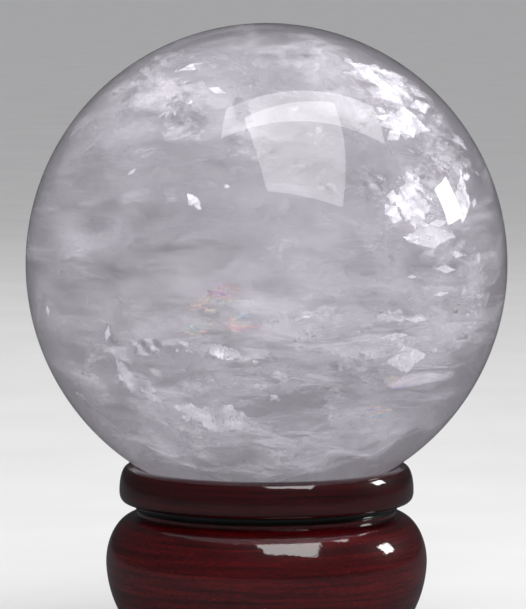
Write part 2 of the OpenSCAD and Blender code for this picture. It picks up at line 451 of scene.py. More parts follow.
# %% Turn the waist, the collar and the foot
GROOVE_R = 1.1 * MM
GROOVE_OUT = 0.7 * MM
FLANGE_R = 27.4 * MM
SCREW_HEAD_R = 3.45 * MM
SCREW_HEAD_H = 1.75 * MM
FELT_R = 25.05 * MM
FOOT_EDGE_IN = 2.2 * MM
FOOT_EDGE_POWER = 2.6
SPIGOT_DEPTH = 4 * MM


def groove(low, high):
    """The cut edge of a flange: the part of a circle that lies between the levels low and high."""
    half = math.degrees(math.asin(min(1, (high - low) / 2 / GROOVE_R)))
    cut = arc(FLANGE_R + GROOVE_OUT, (low + high) / 2, GROOVE_R, -90 + half, -90 - half, 12)
    return cut[np.argsort(cut[:, 1])]


head_z = seat_screw_high[2]
edge_angle = math.degrees(math.asin(SCREW_HEAD_R / DISH_R))
spigot_angle = math.degrees(math.asin(RIM_SPIGOT_R / DISH_R))
waist_outline = np.vstack([
    [[SCREW_R, WAIST_Z - SPIGOT_DEPTH], [DRUM_SPIGOT_R, WAIST_Z - SPIGOT_DEPTH],
     [DRUM_SPIGOT_R, WAIST_Z]],
    groove(WAIST_Z, RIM_Z),
    [[RIM_SPIGOT_R, RIM_Z]],
    arc(0, BALL_Z, DISH_R, spigot_angle, edge_angle),
    [[SCREW_HEAD_R, head_z], [SCREW_R, head_z - SCREW_HEAD_H]],
])
# The waist's black is partly painted shade: it stands for the shade under the rim.
waist = turned("waist", waist_outline, LACQUER_BLACK_AND_SHADE, count=150, seed=7)
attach(waist, "stand")
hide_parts("waist_spool")

collar_outline = np.vstack([
    [[DRUM_SPIGOT_R + GLUE, COLLAR_Z]], groove(COLLAR_Z, DRUM_Z), [[DRUM_SPIGOT_R + GLUE, DRUM_Z]],
])
collar = turned("collar", collar_outline, LACQUER_BLACK_AND_SHADE, count=70, seed=9)
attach(collar, "stand")
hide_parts("foot_collar")

foot_r = foot_high[0]
half_h = (COLLAR_Z - FOOT_Z) / 2
foot_middle = (COLLAR_Z + FOOT_Z) / 2
foot_up, foot_down = [
    shoulder(foot_r, foot_middle, FOOT_EDGE_IN, half_h, FOOT_EDGE_POWER, half_h, way)
    for way in (1, -1)
]
foot_outline = np.vstack([
    [[SCREW_R, foot_high[2]], [DRUM_SPIGOT_R, foot_high[2]], [DRUM_SPIGOT_R, COLLAR_Z]],
    foot_up[::-1], foot_down[1:],
    [[FELT_R, FOOT_Z], [FELT_R, FELT_Z], [SCREW_HEAD_R, FELT_Z], [SCREW_R, FELT_Z + SCREW_HEAD_H]],
])
foot = turned("foot", foot_outline, LACQUER_RIM, count=180, seed=11)
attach(foot, "stand")
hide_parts("foot_ring")

# %% [markdown]
# ## Felt under the ball and under the foot
# Felt is matted wool: dark, dull, with short loose fibres that catch the light at a low angle.
# The ring under the ball is die-cut and lies loose in its recess. The disc is glued into the foot,
# and stands 0.6 mm proud of it, so the stand doesn't scratch the table.


# %% Wool felt
def wool_felt():
    """Matted wool: tangled fibres drawn about 0.4 mm wide, wider than the real ones, or they
    would not show. The loose ones above the surface are the sheen."""
    material, tree = fresh_material("wool_felt")
    tangle_place = place_pattern(tree, (2.4, 2.4, 2.4))
    tangle = add(tree, "TexNoise", vector=tangle_place, scale=1, detail=6, roughness=0.7,
                 distortion=1.5)
    colour = ramp(tree, tangle, (0.3, "#120d0d"), (0.55, "#241a1a"), (0.8, "#3a2e2d"))
    bump = add(tree, "Bump", strength=0.8, distance=0.12 * MM, height=tangle)
    shader = add(tree, "BsdfPrincipled", base_color=colour, roughness=0.95,
                 specular_ior_level=0.15, sheen_weight=0.35, sheen_roughness=0.5,
                 sheen_tint=linear("#6a5a58"), normal=bump)
    add(tree, "OutputMaterial", surface=shader)
    return material


FELT = wool_felt()

# %% Cut the felt ring and the felt disc
FELT_RING_IN = BALL_R + 0.1 * MM
FELT_RING_OUT = BALL_R + 0.9 * MM
FELT_RING_ANGLES = (24, 29)
ring_outline = np.vstack([
    arc(0, BALL_Z, FELT_RING_OUT, *FELT_RING_ANGLES),
    arc(0, BALL_Z, FELT_RING_IN, *FELT_RING_ANGLES[::-1]),
])
felt_ring = turned("felt_ring", ring_outline, FELT, count=60, ease=0.15 * MM, seed=13,
                   uneven=0.02 * MM)
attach(felt_ring, "pad")
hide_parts("seat_pad")

felt_r = felt_high[0]
disc_outline = [[0, FELT_Z], [felt_r, FELT_Z], [felt_r, felt_low[2]], [0, felt_low[2]]]
felt_disc = turned("felt_disc", disc_outline, FELT, closed=False, count=90, ease=0.15 * MM,
                   seed=15, uneven=0)
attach(felt_disc, "stand")
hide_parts("base_felt")

# %% [markdown]
# ## Screws and dowels
# These hold the stand together and only show when it is taken apart. Their solids have the right
# shape, so they stay, and only get the finish of zinc-plated steel and of plain beech.


# %% Zinc plate and beech
def zinc_plate():
    """Bright zinc on steel: a cool grey metal whose gloss changes in small, cloudy spangles."""
    material, tree = fresh_material("zinc_plated_steel")
    spangle = add(tree, "TexNoise", vector=place_pattern(tree, (1.1, 1.1, 1.1)), scale=1,
                  detail=3)
    colour = ramp(tree, spangle, (0.3, "#a3a7ad"), (0.7, "#c3c4c2"))
    gloss = add(tree, "MapRange", value=spangle, to_min=0.24, to_max=0.42)
    bump = add(tree, "Bump", strength=0.2, distance=0.03 * MM, height=spangle)
    shader = add(tree, "BsdfPrincipled", base_color=colour, metallic=1.0, roughness=gloss,
                 normal=bump)
    add(tree, "OutputMaterial", surface=shader)
    return material


def plain_beech():
    """Bare beech: pale tan, with grain lines along the dowel and short darker flecks in them."""
    material, tree = fresh_material("plain_beech")
    grain = add(tree, "TexNoise", vector=place_pattern(tree, (2.5, 2.5, 0.15)), scale=1, detail=4)
    fleck = add(tree, "TexNoise", vector=place_pattern(tree, (5, 5, 0.8)), scale=1, detail=2)
    tone = add(tree, "Math", {"operation": "MULTIPLY_ADD"}, _0=fleck, _1=0.4, _2=grain)
    colour = ramp(tree, tone, (0.5, "#a97f55"), (0.72, "#c9a577"), (0.95, "#dcc096"))
    bump = add(tree, "Bump", strength=0.3, distance=0.05 * MM, height=tone)
    shader = add(tree, "BsdfPrincipled", base_color=colour, roughness=0.62, normal=bump)
    add(tree, "OutputMaterial", surface=shader)
    return material


ZINC = zinc_plate()
BEECH = plain_beech()
FITTINGS = {
    "seat_screw": ZINC, "foot_screw": ZINC, "rim_dowel_1": BEECH, "rim_dowel_2": BEECH,
    "foot_dowel_1": BEECH, "foot_dowel_2": BEECH,
}
for node_name, finish in FITTINGS.items():
    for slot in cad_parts[node_name].material_slots:
        slot.material = finish
print("fittings:", list(FITTINGS))

# %% [markdown]
# ## Rock crystal
# The ball is one crystal, ground and polished to a true sphere. Its skin is as clear as glass,
# and light bends into it by an index of 1.54. Inside it is faintly milky all through, which is
# made as a thin, even fog that scatters light. Lamps would not reach the fog through a bending
# skin in a reasonable time, so shadow rays pass the skin straight, dimmed a little.

# %% Polished crystal
CRYSTAL_IOR = 1.544
FOG_PER_M = 9.0
SMOKE_PER_M = 5.0
SHADOW_PASS = "#d8d6da"


def polished_crystal():
    """Clear quartz with a mirror polish, which shadow rays pass straight, and inside it a fog that
    scatters light and a grey smoke that takes a little of it."""
    material, tree = fresh_material("polished_rock_crystal")
    glass = add(tree, "BsdfPrincipled", base_color=linear("#fdfcff"), roughness=0.0,
                ior=CRYSTAL_IOR, transmission_weight=1.0)
    clear = add(tree, "BsdfTransparent", color=linear(SHADOW_PASS))
    path = add(tree, "LightPath")
    skin = add(tree, "MixShader", _0=path.outputs["Is Shadow Ray"], _1=glass, _2=clear)
    fog = add(tree, "VolumeScatter", color=linear("#f7f3f8"), density=FOG_PER_M, anisotropy=0.2)
    smoke = add(tree, "VolumeAbsorption", color=linear("#a9a4ac"), density=SMOKE_PER_M)
    inside = add(tree, "AddShader", _0=fog, _1=smoke)
    add(tree, "OutputMaterial", surface=skin, volume=inside)
    return material


CRYSTAL = polished_crystal()

# %% [markdown]
# ## The ball's skin
# A ball made of rings has poles where the mesh bunches up and gloss shows it. Here the six faces
# of a cube are blown up to a sphere instead, so that the faces are nearly even all over.


# %% Blow a cube up to a sphere
def blown_sphere(name, radius, centre_z, cells, material):
    """Points of a cube's faces on an even grid of angles, so that tan gives their places, each
    divided by its distance from the centre and set out to radius. Shared edges are merged."""
    across = np.tan(np.linspace(-math.pi / 4, math.pi / 4, cells + 1))
    a, b = [part.ravel() for part in np.meshgrid(across, across, indexing="ij")]
    one = np.ones_like(a)
    sides = [(one, a, b), (-one, -a, b), (-a, one, b), (a, -one, b), (-b, a, one), (b, a, -one)]
    points = np.vstack([np.column_stack(side) for side in sides])
    points /= np.linalg.norm(points, axis=1)[:, None]
    i, j = np.meshgrid(np.arange(cells), np.arange(cells), indexing="ij")
    corner = (i * (cells + 1) + j).ravel()
    quad = np.stack([corner, corner + cells + 1, corner + cells + 2, corner + 1], -1)
    quads = np.vstack([quad + k * (cells + 1) ** 2 for k in range(6)])
    kept, same = np.unique(np.round(points, 6), axis=0, return_inverse=True)
    kept /= np.linalg.norm(kept, axis=1)[:, None]
    placed = kept * radius + np.array([0, 0, centre_z])
    return put_mesh(name, placed, same.ravel()[quads].tolist(), material)


ball = blown_sphere("ball", BALL_R, BALL_Z, 96, CRYSTAL)
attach(ball, "ball")
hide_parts("crystal_ball")
print(f"ball: {len(ball.data.polygons)} faces")

# %% [markdown]
# ## Where a flaw shows
# A flaw inside a ball of crystal isn't where it seems to be, because the skin bends the sight
# line. To put one where the eye expects it, its place is given as the eye sees it from the front,
# right and up of the ball's middle, and the sight line is followed in through the skin.

# %% Follow a sight line into the ball
CENTRE = np.array([0, 0, BALL_Z])
SIGHT = CENTRE - np.array(camera.location)
SIGHT /= np.linalg.norm(SIGHT)
SIGHT_RIGHT = np.array([1.0, 0, 0])
SIGHT_UP = np.cross(SIGHT_RIGHT, SIGHT)


def skin_normal(right, up):
    """The skin's outward direction where it shows at right and up, in shares of the radius."""
    facing = math.sqrt(max(0, 1 - right ** 2 - up ** 2))
    return right * SIGHT_RIGHT + up * SIGHT_UP - facing * SIGHT


def bent_sight(normal):
    """The sight line's direction inside the crystal: Snell's law at the skin."""
    facing = -np.dot(normal, SIGHT)
    ratio = 1 / CRYSTAL_IOR
    bent = math.sqrt(1 - ratio ** 2 * (1 - facing ** 2))
    return ratio * SIGHT + (ratio * facing - bent) * normal


def seen_at(right, up, depth):
    """The point that shows at right and up, after the sight line has gone depth radii in."""
    normal = skin_normal(right, up)
    return CENTRE + BALL_R * (normal + depth * bent_sight(normal))


def mirrored_at(right, up):
    """The direction from the ball in which a lamp has to stand for its reflection to show at
    right and up: the sight line turned back, mirrored about the skin's normal there."""
    normal = skin_normal(right, up)
    return SIGHT - 2 * np.dot(SIGHT, normal) * normal


def flashing(right, up, way):
    """The nod and turn in degrees of a face that shows at right and up and mirrors a lamp that
    stands that way: its normal lies halfway between the lamp and back along the sight line."""
    half_way = way - bent_sight(skin_normal(right, up))
    half_way /= np.linalg.norm(half_way)
    return math.degrees(math.asin(half_way[2])), math.degrees(math.atan2(half_way[0], -half_way[1]))


WINDOW_WAY = mirrored_at(0.106, 0.456)
STRIP_WAY = mirrored_at(0.075, 0.634)
SIDE_WAY = mirrored_at(0.73, 0.25)
print("middle of the front at half depth:", np.round(seen_at(0, 0, 1) / MM, 1))

# %% [markdown]
# ## Veils, cracks and crumbs as thin lenses
# A healed crack is a thin, wavy sheet with a ragged outline. Each is made as a closed lens: a
# grid whose one parameter runs from the middle of its upper side, over the rim, to the middle of
# its lower side, and whose other runs round it. All the lenses of one kind make one piece. Each
# point carries how much it covers, which fades out towards the rim.


# %% Lens surfaces
SKIN_MARGIN = 0.97


def frame_of(nod, turn, roll):
    """Two directions in a sheet and its normal. The normal faces the front, tips up by nod and
    goes to the right by turn, and roll turns the sheet in its own plane, all in degrees."""
    nod, turn, roll = np.radians([nod, turn, roll])
    normal = np.array([np.sin(turn) * np.cos(nod), -np.cos(turn) * np.cos(nod), np.sin(nod)])
    level = np.array([np.cos(turn), np.sin(turn), 0])
    steep = np.cross(normal, level)
    return (np.cos(roll) * level + np.sin(roll) * steep,
            np.cos(roll) * steep - np.sin(roll) * level, normal)


def lens(centre, tilt, long_r, wide_r, draw, ragged=0.3, corners=0, wave=0.03, thick=0.3 * MM,
         rings=9, around=56):
    """A closed lens. Its outline is an ellipse, or a straight-sided figure with that many corners,
    times one plus a sum of sines. It is lifted off its plane by a sum of waves, and kept inside
    the skin. Gives the grid of points and how far out each ring lies."""
    long_way, wide_way, normal = frame_of(*tilt)
    angles = np.linspace(0, 2 * math.pi, around, endpoint=False)
    orders = np.arange(2, 12)[:, None]
    phases = draw.uniform(0, 6.28, (10, 1))
    reach = 1 + ragged * (np.sin(orders * angles + phases) / orders ** 0.8).sum(0) * 0.6
    if corners:
        sector = 2 * math.pi / corners
        reach *= math.cos(sector / 2) / np.cos(angles % sector - sector / 2)
    out = np.linspace(0, 1, rings)
    share = np.concatenate([out, out[-2::-1]])[:, None]
    side = np.concatenate([np.ones(rings), -np.ones(rings - 1)])[:, None]
    x = share * reach * np.cos(angles) * long_r
    y = share * reach * np.sin(angles) * wide_r
    lift = np.zeros_like(x)
    for _ in range(5):
        kx, ky = draw.uniform(-9, 9, 2) / max(long_r, wide_r)
        lift += np.sin(kx * x + ky * y + draw.uniform(0, 6.28))
    height = wave * BALL_R * lift / 2 + side * thick / 2 * np.sqrt(1 - share ** 2)
    points = (centre + x[..., None] * long_way + y[..., None] * wide_way
              + height[..., None] * normal)
    away = points - CENTRE
    distance = np.linalg.norm(away, axis=-1, keepdims=True)
    inside = np.minimum(1, SKIN_MARGIN * BALL_R / np.maximum(distance, 1e-9))
    return CENTRE + away * inside, np.broadcast_to(share, x.shape)


def lens_piece(name, lenses, material):
    """One piece of many lenses. Each is given as its grid, its shares and how much it covers."""
    points, faces, cover, start = [], [], [], 0
    for grid, share, strength in lenses:
        rings, around = grid.shape[:2]
        points += [grid[1:-1].reshape(-1, 3), grid[0, :1], grid[-1, :1]]
        fade = strength * (1 - share ** 3)
        cover += [fade[1:-1].ravel(), fade[0, :1], fade[-1, :1]]
        faces += capped_faces(rings - 2, around, start)
        start += (rings - 2) * around + 2
    piece = put_mesh(name, np.vstack(points), faces, material)
    layer = piece.data.attributes.new("cover", "FLOAT", "POINT")
    layer.data.foreach_set("value", np.concatenate(cover).astype(np.float32))
    piece.visible_shadow = False
    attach(piece, "ball")
    print(f"{name}: {len(lenses)} lenses, {len(faces)} faces")
    return piece


# %% [markdown]
# ## What the flaws are made of
# A veil is a sheet of tiny bubbles, so it is white, dull and full of holes. A fresh crack holds
# a film of air, which mirrors like silver where it is smooth and vanishes where it has healed.
# Where that film is as thin as light's own waves, it shows rainbow colours.


# %% Flaw materials
RIM_BITE = 0.35


def cover_times(tree, pattern):
    """The pattern times the cover that each point of the piece carries."""
    cover = add(tree, "Attribute", {"attribute_name": "cover"}).outputs["Fac"]
    return add(tree, "Math", {"operation": "MULTIPLY", "use_clamp": True}, _0=cover, _1=pattern)


def veil_material(name, colour, low, high, per_mm, roughness=0.6):
    """White veil: alpha from a noise of wisps, which a map range opens into holes and threads."""
    material, tree = fresh_material(name)
    wisp = add(tree, "TexNoise", vector=place_pattern(tree, per_mm), scale=1, detail=5,
               roughness=0.7, distortion=0.6)
    holes = add(tree, "MapRange", value=wisp, from_min=low, from_max=high)
    shader = add(tree, "BsdfPrincipled", base_color=linear(colour), roughness=roughness, ior=1.45,
                 specular_ior_level=0.2, alpha=cover_times(tree, holes))
    add(tree, "OutputMaterial", surface=shader)
    return material


def split_material(name, per_mm, roughness, silver, closed, open_at):
    """Air-filled split: part silver, where its film mirrors, and part white, where it is crushed.
    A noise of fine steps is its relief. Where the noise, plus a share of the cover, is low, the
    split has healed, so its rim is bitten into by the steps."""
    material, tree = fresh_material(name)
    step = add(tree, "TexNoise", vector=place_pattern(tree, per_mm), scale=1, detail=6,
               roughness=0.65, distortion=0.8)
    cover = add(tree, "Attribute", {"attribute_name": "cover"}).outputs["Fac"]
    kept = add(tree, "Math", {"operation": "MINIMUM"}, _0=cover, _1=1.0)
    whole = add(tree, "Math", {"operation": "MULTIPLY_ADD"}, _0=kept, _1=RIM_BITE, _2=step)
    patch = add(tree, "MapRange", value=whole, from_min=closed + RIM_BITE,
                from_max=open_at + RIM_BITE)
    bump = add(tree, "Bump", strength=0.7, distance=0.2 * MM, height=step)
    shader = add(tree, "BsdfPrincipled", base_color=linear("#f7f6fa"), metallic=silver,
                 roughness=roughness, normal=bump, alpha=patch)
    add(tree, "OutputMaterial", surface=shader)
    return material


def rainbow_material():
    """Thin air film: bands of rainbow colour a few millimetres apart, which fade in and out."""
    material, tree = fresh_material("rainbow_film")
    band = add(tree, "TexNoise", vector=place_pattern(tree, (0.12, 0.12, 0.3)), scale=1, detail=2)
    hue = add(tree, "MapRange", value=band, from_min=0.3, from_max=0.7)
    colour = ramp(tree, hue, (0.0, "#a4b8f6"), (0.2, "#bfe4f0"), (0.4, "#efe6d8"),
                  (0.6, "#f3cfd6"), (0.8, "#d9bdf0"), (1.0, "#a9b2f8"))
    wisp = add(tree, "TexNoise", vector=place_pattern(tree, (0.5, 0.5, 1.5)), scale=1, detail=4)
    holes = add(tree, "MapRange", value=wisp, from_min=0.4, from_max=0.65)
    shader = add(tree, "BsdfPrincipled", base_color=colour, roughness=0.3,
                 alpha=cover_times(tree, holes))
    add(tree, "OutputMaterial", surface=shader)
    return material


VEIL = veil_material("healed_veil", "#f6f4f8", 0.42, 0.68, (0.07, 0.08, 0.34))
MIST = veil_material("faint_mist", "#f6f4f8", 0.38, 0.72, (0.09, 0.09, 0.17))
CLOUD = veil_material("milky_cloud", "#f6f4f7", 0.42, 0.60, (0.16, 0.16, 0.5))
CRUSHED = split_material("crushed_face", (1.3, 0.5, 0.8), 0.36, 0.5, 0.34, 0.44)
CRACK = split_material("fresh_crack", (0.25, 0.9, 2.2), 0.24, 0.7, 0.38, 0.6)
RAINBOW = rainbow_material()

# %% [markdown]
# ## Laying out the veils
# The large veils are placed one by one. The lower half of the ball holds nearly level sheets, which
# the eye sees edge on as ragged white bands. Steeper ones fill the upper left and the right side.
# Mists are the same kind of sheet, fainter and softer, and fill the gaps between the veils.
# Each row gives where a veil shows, its depth, its half sizes as shares of the radius, its tilt,
# and how much it covers.

# %% Large veils and mists
VEILS = [
    # right, up, depth, long, wide, nod, turn, roll, cover
    (0.28, -0.24, 0.75, 0.62, 0.42, 74, 8, 6, 0.9),
    (-0.12, -0.45, 0.70, 0.52, 0.36, 66, -12, -5, 0.9),
    (-0.10, -0.66, 0.50, 0.40, 0.26, 50, 6, 4, 1.0),
    (0.10, -0.33, 1.20, 0.70, 0.50, 80, 0, 0, 0.7),
    (0.55, -0.37, 0.45, 0.30, 0.18, 40, 30, -8, 0.9),
    (-0.34, 0.62, 0.60, 0.44, 0.30, 18, -20, 20, 0.8),
    (-0.50, 0.30, 0.90, 0.40, 0.30, 25, -35, 50, 0.5),
    (0.66, 0.22, 0.40, 0.30, 0.15, 8, 40, 82, 1.0),
    (0.45, 0.70, 0.35, 0.20, 0.11, 30, 20, -35, 1.0),
    (0.14, 0.10, 1.00, 0.55, 0.45, 20, 10, 15, 0.45),
    (-0.58, -0.15, 0.70, 0.40, 0.26, 35, -30, -20, 0.5),
    (0.36, -0.64, 0.50, 0.36, 0.20, 50, 15, 30, 0.7),
    (0.10, 0.55, 0.80, 0.45, 0.25, 30, 0, -10, 0.5),
    (-0.15, 0.20, 1.50, 0.45, 0.30, 58, 170, 10, 0.9),
    (0.25, -0.20, 1.55, 0.50, 0.30, 68, 150, -10, 0.9),
    (0.05, -0.42, 1.40, 0.40, 0.30, 52, 200, 15, 0.8),
    (-0.34, -0.10, 1.50, 0.35, 0.25, 25, 205, 60, 0.7),
]
MISTS = [
    # right, up, depth, long, wide, nod, turn, roll, cover
    (-0.55, -0.45, 0.55, 0.42, 0.34, 25, -20, -35, 0.7),
    (0.60, -0.55, 0.50, 0.40, 0.30, 30, 25, 40, 0.7),
    (0.05, -0.70, 0.60, 0.50, 0.24, 40, 0, 5, 0.8),
    (-0.72, 0.10, 0.45, 0.40, 0.26, 20, -35, 75, 0.6),
    (0.72, -0.05, 0.45, 0.36, 0.28, 25, 30, 80, 0.8),
    (-0.15, 0.74, 0.40, 0.60, 0.26, 40, -10, 8, 1.0),
    (0.25, 0.62, 0.60, 0.40, 0.24, 40, 10, -20, 0.9),
    (-0.55, 0.50, 0.45, 0.40, 0.24, 30, -25, 45, 0.7),
    (0.66, 0.36, 0.35, 0.34, 0.22, 30, 30, 75, 0.9),
    (0.10, 0.20, 0.80, 0.60, 0.50, 25, 0, 30, 0.5),
    (-0.30, -0.05, 0.90, 0.60, 0.45, 30, -10, -15, 0.6),
    (0.15, -0.10, 0.70, 0.50, 0.26, 40, 5, 3, 0.7),
    (-0.20, -0.82, 0.16, 0.30, 0.12, 48, -8, 4, 1.2),
    (0.20, -0.80, 0.18, 0.34, 0.13, 45, 8, -5, 1.2),
    (0.0, -0.86, 0.12, 0.30, 0.08, 50, 0, 0, 1.0),
    (0.42, -0.74, 0.20, 0.28, 0.12, 40, 18, 20, 1.0),
    (-0.44, -0.72, 0.20, 0.28, 0.12, 40, -18, -22, 1.0),
]
MIST_THINNING = 0.75


def large_sheets(rows, seed, thinning, **grid_size):
    """A lens for each row, whose cover is the row's times thinning."""
    draw = np.random.default_rng(seed)
    lenses = []
    for right, up, depth, long_r, wide_r, nod, turn, roll, cover in rows:
        grid, share = lens(seen_at(right, up, depth), (nod, turn, roll), long_r * BALL_R,
                           wide_r * BALL_R, draw, **grid_size)
        lenses.append((grid, share, thinning * cover))
    return lenses


lens_piece("veils", large_sheets(VEILS, 20, 1, rings=14, around=96, wave=0.035), VEIL)
lens_piece("mists", large_sheets(MISTS, 23, MIST_THINNING, rings=12, around=72, wave=0.05), MIST)

# %% [markdown]
# ## Bright broken faces
# Where the crystal has split along its grain, the split is a flat, straight-sided face that
# throws a lamp back at the eye, nearly pure white, with fine dark steps across it. Each is turned
# so that it mirrors one lamp, and lies where the eye sees it flash. The dull ones are crushed
# through and only catch the light.

# %% Bright faces
WAYS = {"window": WINDOW_WAY, "strip": STRIP_WAY, "side": SIDE_WAY}
FLASHES = [
    # right, up, depth, half long, half wide in mm, roll, lamp
    (0.48, 0.74, 0.24, 8.5, 5.2, -32, "strip"), (0.56, 0.57, 0.20, 6.6, 4.2, -10, "window"),
    (0.46, 0.71, 0.14, 6.4, 4.0, -38, "window"), (0.41, 0.77, 0.12, 3.6, 2.4, -30, "strip"),
    (0.59, 0.25, 0.20, 6.4, 5.4, 84, "window"), (0.66, 0.11, 0.16, 7.4, 3.2, 2, "strip"),
    (0.79, 0.26, 0.20, 5.6, 2.8, 78, "window"), (0.70, 0.40, 0.22, 4.0, 0.9, -50, "side"),
    (0.56, -0.38, 0.16, 4.9, 3.8, 8, "window"), (0.51, -0.29, 0.18, 3.6, 1.0, 3, "window"),
    (0.60, -0.22, 0.16, 2.8, 1.0, -5, "window"), (0.70, -0.12, 0.16, 2.2, 0.7, 5, "strip"),
    (-0.29, 0.25, 0.30, 2.7, 1.3, -55, "window"), (-0.54, 0.37, 0.24, 1.2, 0.6, 40, "strip"),
    (-0.89, -0.19, 0.14, 1.5, 0.9, 80, "window"), (-0.64, -0.28, 0.28, 2.2, 0.7, 75, "window"),
    (-0.16, 0.31, 0.40, 0.7, 0.5, 0, "window"), (0.26, -0.58, 0.40, 0.9, 0.4, 0, "window"),
    (0.16, -0.21, 0.50, 2.6, 0.7, 24, "window"), (-0.30, 0.80, 0.30, 3.4, 1.2, 15, "strip"),
    (-0.20, 0.70, 0.34, 2.0, 1.0, -30, "strip"), (0.86, 0.02, 0.16, 1.3, 0.6, 70, "side"),
]
CRUSHES = [
    # right, up, depth, half long, half wide in mm, nod, turn, roll, cover
    (-0.20, -0.62, 0.26, 8.2, 5.0, 30, -4, -12, 1.5),
    (-0.52, -0.49, 0.28, 7.4, 2.8, 28, -20, -38, 1.4),
    (-0.22, -0.36, 0.46, 9.0, 2.2, 46, -5, -20, 1.0),
    (-0.48, -0.33, 0.30, 3.8, 2.6, 24, -15, 5, 1.4),
    (0.04, -0.72, 0.40, 6.0, 2.0, 50, 0, -4, 0.9),
    (0.34, -0.36, 0.50, 9.0, 2.0, 52, 8, 2, 0.8),
    (-0.36, 0.64, 0.36, 5.0, 3.0, 30, -10, 20, 0.7),
    (0.20, 0.30, 1.65, 6.0, 4.0, 40, 170, 20, 1.2),
    (-0.28, -0.20, 1.60, 7.0, 3.0, 45, 200, -15, 1.2),
    (0.36, -0.10, 1.50, 5.0, 3.0, 35, 150, 60, 1.2),
    (-0.10, 0.45, 1.40, 6.0, 3.0, 50, 185, 10, 1.0),
    (0.05, -0.05, 1.70, 4.0, 2.6, 48, 165, -30, 1.2),
]
CHIPS_PER_MM = 1.4
CHIPPED_FROM_MM = 3
CHIP_SPREAD = 0.45
EDGE_OF_SIGHT = 0.93
FLASH_COVER = 1.7


def kept_in_sight(place):
    """The place, drawn in towards the ball's middle if it lies too near its edge to show."""
    return place * min(1, EDGE_OF_SIGHT / np.linalg.norm(place))


draw = np.random.default_rng(26)
faces = []
for right, up, depth, long_mm, wide_mm, roll, lamp in FLASHES:
    chips = int(CHIPS_PER_MM * long_mm) if long_mm > CHIPPED_FROM_MM else 0
    for chip in range(1 + chips):
        place, size, rings, around = np.array([right, up]), 1.0, 10, 64
        if chip > 0:
            spread = CHIP_SPREAD * long_mm * MM / BALL_R
            place = kept_in_sight(place + draw.normal(0, spread, 2))
            size, rings, around = draw.uniform(0.15, 0.45), 6, 36
        nod, turn = np.array(flashing(*place, WAYS[lamp])) + draw.normal(0, 4, 2)
        tilt = (nod, turn, roll + draw.normal(0, 25) * (chip > 0))
        grid, share = lens(seen_at(*place, depth), tilt, size * long_mm * MM, size * wide_mm * MM,
                           draw, rings=rings, around=around, ragged=0.12, corners=4,
                           wave=0.0006 * size * long_mm)
        faces.append((grid, share, FLASH_COVER))
for right, up, depth, long_mm, wide_mm, nod, turn, roll, strength in CRUSHES:
    grid, share = lens(seen_at(right, up, depth), (nod, turn, roll), long_mm * MM, wide_mm * MM,
                       draw, rings=12, around=80, ragged=0.35, corners=5, wave=0.012)
    faces.append((grid, share, strength))
lens_piece("bright_faces", faces, CRUSHED)

# %% [markdown]
# ## Clouds of crumbs along the bands
# The level veils are crowded with small milky flakes, torn and layered like ice. They are drawn
# at random round a few places, flat and nearly level, from 2 to 9 mm long.

# %% Milky flakes
CLUSTERS = [
    # right, up, spread right, spread up, depth, how many, nod
    (0.25, -0.22, 0.32, 0.05, 0.60, 60, 60),
    (-0.15, -0.45, 0.26, 0.06, 0.55, 55, 50),
    (-0.20, -0.64, 0.18, 0.06, 0.45, 30, 45),
    (-0.36, 0.64, 0.20, 0.12, 0.45, 45, 20),
    (0.66, 0.20, 0.09, 0.16, 0.32, 60, 25),
    (0.52, 0.66, 0.11, 0.10, 0.28, 50, 30),
    (0.70, 0.44, 0.07, 0.08, 0.24, 34, 25),
    (0.84, -0.08, 0.05, 0.12, 0.18, 24, 25),
    (0.58, -0.36, 0.12, 0.07, 0.40, 22, 40),
    (-0.64, -0.28, 0.05, 0.10, 0.40, 14, 30),
    (0.0, 0.0, 0.55, 0.50, 0.90, 40, 30),
    (0.10, -0.15, 0.30, 0.16, 1.55, 50, 60),
    (-0.20, 0.25, 0.20, 0.20, 1.50, 40, 40),
]
FLAKE_HALF_MM = 4.5
LEAST_DEPTH = 0.08
draw = np.random.default_rng(31)
flakes = []
for right, up, spread_right, spread_up, depth, count, nod in CLUSTERS:
    for _ in range(count):
        spread = draw.normal(0, 1, 2) * (spread_right, spread_up)
        place = kept_in_sight(np.array([right, up]) + spread)
        centre = seen_at(*place, max(LEAST_DEPTH, depth + draw.normal(0, 0.2)))
        long_r = draw.uniform(0.5, 1) ** 2 * FLAKE_HALF_MM * MM
        tilt = (nod + draw.normal(0, 22), draw.normal(0, 35), draw.normal(0, 25))
        grid, share = lens(centre, tilt, long_r, long_r * draw.uniform(0.3, 0.8), draw, ragged=0.5,
                           wave=0.008, rings=5, around=22, thick=0.25 * MM)
        flakes.append((grid, share, draw.uniform(0.2, 0.9)))
lens_piece("milky_flakes", flakes, CLOUD)

# %% [markdown]
# ## Cracks that flash
# The crystal splits along a few fixed directions, so its cracks are flat, straight-sided and lie
# in three families. They flash where they mirror a lamp.

# %% Cracks
FAMILIES = [(20, 38, 80), (62, -20, 10), (12, -42, -35)]  # nod, turn and roll of each family
CRACK_COVER = 1.2
CRACK_PLACES = [
    # right, up, depth, half length in mm, family
    (0.66, 0.24, 0.35, 8.0, 0), (0.72, 0.05, 0.35, 6.0, 0), (0.44, 0.72, 0.30, 7.0, 1),
    (0.56, -0.34, 0.40, 7.0, 1), (0.30, -0.26, 0.55, 8.0, 1), (-0.05, -0.22, 0.50, 6.0, 1),
    (-0.14, -0.52, 0.45, 9.0, 1), (0.62, 0.55, 0.30, 5.0, 0), (0.50, 0.10, 0.60, 12.0, 0),
    (-0.62, -0.30, 0.30, 3.0, 2), (0.02, -0.62, 0.40, 6.0, 1), (0.80, -0.26, 0.25, 4.0, 1),
    (0.30, -0.60, 0.50, 8.0, 0), (-0.26, 0.80, 0.25, 4.0, 1), (-0.10, 0.62, 0.45, 5.0, 2),
]
draw = np.random.default_rng(47)
